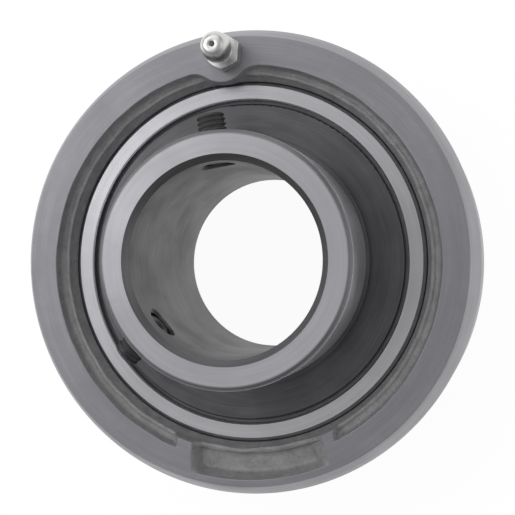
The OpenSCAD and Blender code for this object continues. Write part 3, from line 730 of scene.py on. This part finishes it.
nippleShape = {
    "y": 44.3, "foot": 9.0, "around": 2.5,
    "thread": 2.95, "pitch": 1.0, "threadDepth": 0.5, "steep": 1.2, "crest": 0.1, "steps": 10,
    "footChamfer": 0.5, "threadTop": 14.4, "undercut": 2.5,
    "face": 15.0, "flats": 7.0, "turn": 22.0, "hexTop": 18.4, "bevel": 0.86, "round": 0.12,
    "bevelRows": (0.6, 0.45, 0.3, 0.15, 0.07, 0.0),
    "neck": 2.15, "neckTop": 20.4, "fillet": 0.15,
    "head": 3.12, "bandLow": 21.9, "bandHigh": 22.9, "tip": 26.0, "tipFlat": 1.25,
    "mouth": 0.55, "lip": 0.16, "ball": 24.707, "room": 1.23,
    "bore": 1.3, "step": 14.0, "drill": 0.8,
}


# grease nipple round its own axis: thread, hexagon (half the flats over a cosine, under a cone),
# neck, band and a domed head (an ellipse from band to tip), then the valve's seat (a sphere round
# the ball), the spring's bore and the drilling
def nippleSkin(look):
    turn = np.radians(np.arange(0, 360, look["around"]))
    ones = np.ones_like(turn)
    foot, pitch, face, hexTop = look["foot"], look["pitch"], look["face"], look["hexTop"]
    neck, head, tip, edge = look["neck"], look["head"], look["tip"], look["round"]
    core = look["thread"] - look["footChamfer"]
    side = (turn - math.radians(look["turn"])) % (math.pi / 3) - math.pi / 6
    hexR = np.minimum(look["flats"] / 2 / np.cos(side), look["flats"] / math.sqrt(3) - edge)
    rows = [(look["drill"], foot), (core, foot)]
    for z in np.arange(foot + 0.05, look["threadTop"], pitch / look["steps"]):
        cut = threadShare(z - foot, turn, pitch, look["steep"], look["crest"])
        thread = look["thread"] - look["threadDepth"] * cut
        rows.append((np.minimum(thread, core + z - foot), z))
    rows += [(look["undercut"], look["threadTop"] + 0.1), (look["undercut"], face - 0.05)]
    rows += [(hexR - edge, face + 0.01), (hexR, face + edge)]
    for down in look["bevelRows"]:
        cone = look["flats"] / 2 - 0.04 + down / look["bevel"]
        rows.append((np.minimum(hexR, cone), hexTop - down))
    rows += [(neck + look["fillet"], hexTop), (neck, hexTop + look["fillet"])]
    rows += [(neck, look["neckTop"]), (head - 0.1, look["bandLow"] - 0.12)]
    rows += [(head, look["bandLow"]), (head, look["bandHigh"])]
    flat, band = look["tipFlat"], look["bandHigh"]
    for bend in np.radians(np.linspace(8, 82, 12)):
        rows.append((flat + (head - flat) * math.cos(bend), band + (tip - band) * math.sin(bend)))
    rows += [(flat - 0.05, tip), (look["mouth"] + 0.08, tip)]
    rows += [(look["mouth"], tip - 0.06), (look["mouth"], tip - look["lip"])]
    for bend in np.radians((60, 45, 30, 15, 0)):
        rows.append((look["room"] * math.cos(bend), look["ball"] + look["room"] * math.sin(bend)))
    rows += [(look["bore"], look["ball"] - 0.4), (look["bore"], look["step"])]
    rows.append((look["drill"], look["step"]))
    radius = np.stack([r * ones for r, z in rows])
    height = np.stack([z * ones for r, z in rows])
    points = np.stack([radius * np.cos(turn), radius * np.sin(turn) + look["y"], height], -1)
    return gridPiece("greaseNippleSkin", points, "nippleZinc", True)


nipple = nippleSkin(nippleShape)
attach(nipple, "housing")
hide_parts("grease_nipple")
print("grease nipple:", len(nipple.data.polygons), "faces")

springShape = {
    "y": 44.3, "foot": 14.0, "top": 23.487, "wire": 0.14, "coil": 0.9, "turns": 7, "travel": 0.8,
    "steps": 24, "around": 30.0,
}


# valve spring: a round wire carried along a helix from the nipple's step up to the ball
def springCoil(look):
    along = np.linspace(0, 1, look["steps"] * look["turns"] + 1)
    share = np.concatenate([[0], along, [1]])[:, None]
    around = np.radians(np.arange(0, 360, look["around"]))
    size = np.full_like(share, look["wire"])
    size[[0, -1]] = 0  # flat ends
    turn = 2 * math.pi * look["turns"] * share
    radius = look["coil"] + size * np.sin(around)
    rise = look["top"] - look["foot"] - 2 * look["wire"]
    z = look["foot"] + look["wire"] + rise * share + size * np.cos(around)
    points = np.stack([radius * np.cos(turn), radius * np.sin(turn) + look["y"], z], -1)
    return gridPiece("nippleSpringCoil", points, "springSteel", False)


spring = springCoil(springShape)
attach(spring, "housing")
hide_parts("nipple_spring")
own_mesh(spring)
print("valve spring coiled")

cameraLook = {
    "place": (55.36, -6.893, 238.039), "turn": (0.8515, 13.1381, -4.3545),
    "lens": 75.687, "sensor": 36.0, "near": 0.01,
}
cameraData = bpy.data.cameras.new("camera")
cameraData.lens = cameraLook["lens"]
cameraData.sensor_width = cameraLook["sensor"]
cameraData.clip_start = cameraLook["near"]
cameraObject = bpy.data.objects.new("camera", cameraData)
cameraObject.location = [value * mm for value in cameraLook["place"]]
cameraObject.rotation_euler = [math.radians(value) for value in cameraLook["turn"]]
bpy.context.scene.collection.objects.link(cameraObject)
bpy.context.scene.camera = cameraObject

floorLook = {
    "size": 40.0, "gap": 0.02, "colour": (0.86, 0.86, 0.86), "rough": 0.9, "shine": 0.1,
    "shown": 0.9, "glow": 1.05,
}


# flat sheet under the part: nearly white to the eye and in mirrors, still with the part's shadow,
# and clear from below so that the underside can be looked at
def makeFloor(look):
    half, low = look["size"] / 2, frameBox[0].z - look["gap"] * mm
    mesh = bpy.data.meshes.new("floor")
    corners = [(-half, -half, low), (half, -half, low), (half, half, low), (-half, half, low)]
    mesh.from_pydata(corners, [], [(0, 1, 2, 3)])
    floor = bpy.data.objects.new("floor", mesh)
    bpy.context.scene.collection.objects.link(floor)
    material, tree, shader = newMaterial("floor")
    shader.inputs["Base Color"].default_value = (*look["colour"], 1.0)
    shader.inputs["Roughness"].default_value = look["rough"]
    shader.inputs["Specular IOR Level"].default_value = look["shine"]
    glow = tree.nodes.new("ShaderNodeEmission")
    glow.inputs["Strength"].default_value = look["glow"]
    sight = tree.nodes.new("ShaderNodeLightPath").outputs
    seen = calc(tree, "MAXIMUM", sight["Is Camera Ray"], sight["Is Glossy Ray"])
    seen = calc(tree, "MAXIMUM", seen, sight["Is Transmission Ray"])
    blend = tree.nodes.new("ShaderNodeMixShader")
    tree.links.new(times(tree, seen, look["shown"]), blend.inputs[0])
    tree.links.new(shader.outputs[0], blend.inputs[1])
    tree.links.new(glow.outputs[0], blend.inputs[2])
    clear = tree.nodes.new("ShaderNodeBsdfTransparent")
    sides = tree.nodes.new("ShaderNodeMixShader")
    tree.links.new(tree.nodes.new("ShaderNodeNewGeometry").outputs["Backfacing"], sides.inputs[0])
    tree.links.new(blend.outputs[0], sides.inputs[1])
    tree.links.new(clear.outputs[0], sides.inputs[2])
    tree.links.new(sides.outputs[0], tree.nodes["Material Output"].inputs["Surface"])
    mesh.materials.append(material)
    return floor


floor = makeFloor(floorLook)

skyLook = {
    "level": 0.26,
    "boxes": {  # each fades in between two cosines of the angle to its middle
        "overLeft": {"toward": (-0.41, 0.0, 0.91), "fade": (0.9, 0.99), "strength": 0.39},
        "overBack": {"toward": (-0.2, 0.35, 0.91), "fade": (0.9, 0.99), "strength": 0.34},
        "right": {"toward": (0.79, 0.0, 0.62), "fade": (0.8, 0.97), "strength": 0.4},
        "back": {"toward": (0.0, 0.79, 0.62), "fade": (0.8, 0.97), "strength": 0.85},
        "overFront": {"toward": (-0.1, -0.4, 0.91), "fade": (0.88, 0.99), "strength": 0.14},
        "left": {"toward": (-0.79, 0.0, 0.62), "fade": (0.8, 0.97), "strength": 0.21},
        "rightLow": {"toward": (0.98, 0.0, 0.17), "fade": (0.75, 0.97), "strength": 0.27},
        "backLow": {"toward": (0.0, 0.98, 0.17), "fade": (0.75, 0.97), "strength": 0.16},
        "frontLow": {"toward": (0.0, -0.98, 0.17), "fade": (0.75, 0.97), "strength": -0.12},
    },
}


# studio walls and ceiling: an even level, brighter round the direction of each soft box, and
# darker where the box is a dark card, with a strength below zero
def makeSky(look):
    world = bpy.data.worlds.new("studio")
    world.use_nodes = True
    tree = world.node_tree
    direction = tree.nodes.new("ShaderNodeTexCoord").outputs["Generated"]
    level = look["level"]
    for box in look["boxes"].values():
        size = math.sqrt(sum(value * value for value in box["toward"]))
        dot = tree.nodes.new("ShaderNodeVectorMath")
        dot.operation = "DOT_PRODUCT"
        tree.links.new(direction, dot.inputs[0])
        dot.inputs[1].default_value = [value / size for value in box["toward"]]
        glow = ramp(tree, dot.outputs["Value"], *box["fade"], 0.0, box["strength"])
        level = plus(tree, glow, level)
    background = tree.nodes["Background"]
    tree.links.new(level, background.inputs["Strength"])
    background.inputs["Color"].default_value = (1.0, 1.0, 1.0, 1.0)
    bpy.context.scene.world = world


makeSky(skyLook)

lampLook = {
    "key": {"place": (-0.4, 0.2, 0.42), "size": 0.45, "power": 0.97},  # metres and watts
}


def makeLamp(name, look):
    data = bpy.data.lights.new(name, "AREA")
    data.shape = "SQUARE"
    data.size = look["size"]
    data.energy = look["power"]
    lamp = bpy.data.objects.new(name, data)
    lamp.location = look["place"]
    lamp.rotation_euler = (-lamp.location.normalized()).to_track_quat("-Z", "Y").to_euler()
    bpy.context.scene.collection.objects.link(lamp)


for name, look in lampLook.items():
    makeLamp(name, look)
bpy.context.scene.view_settings.view_transform = "Standard"
print("camera, floor and light set")
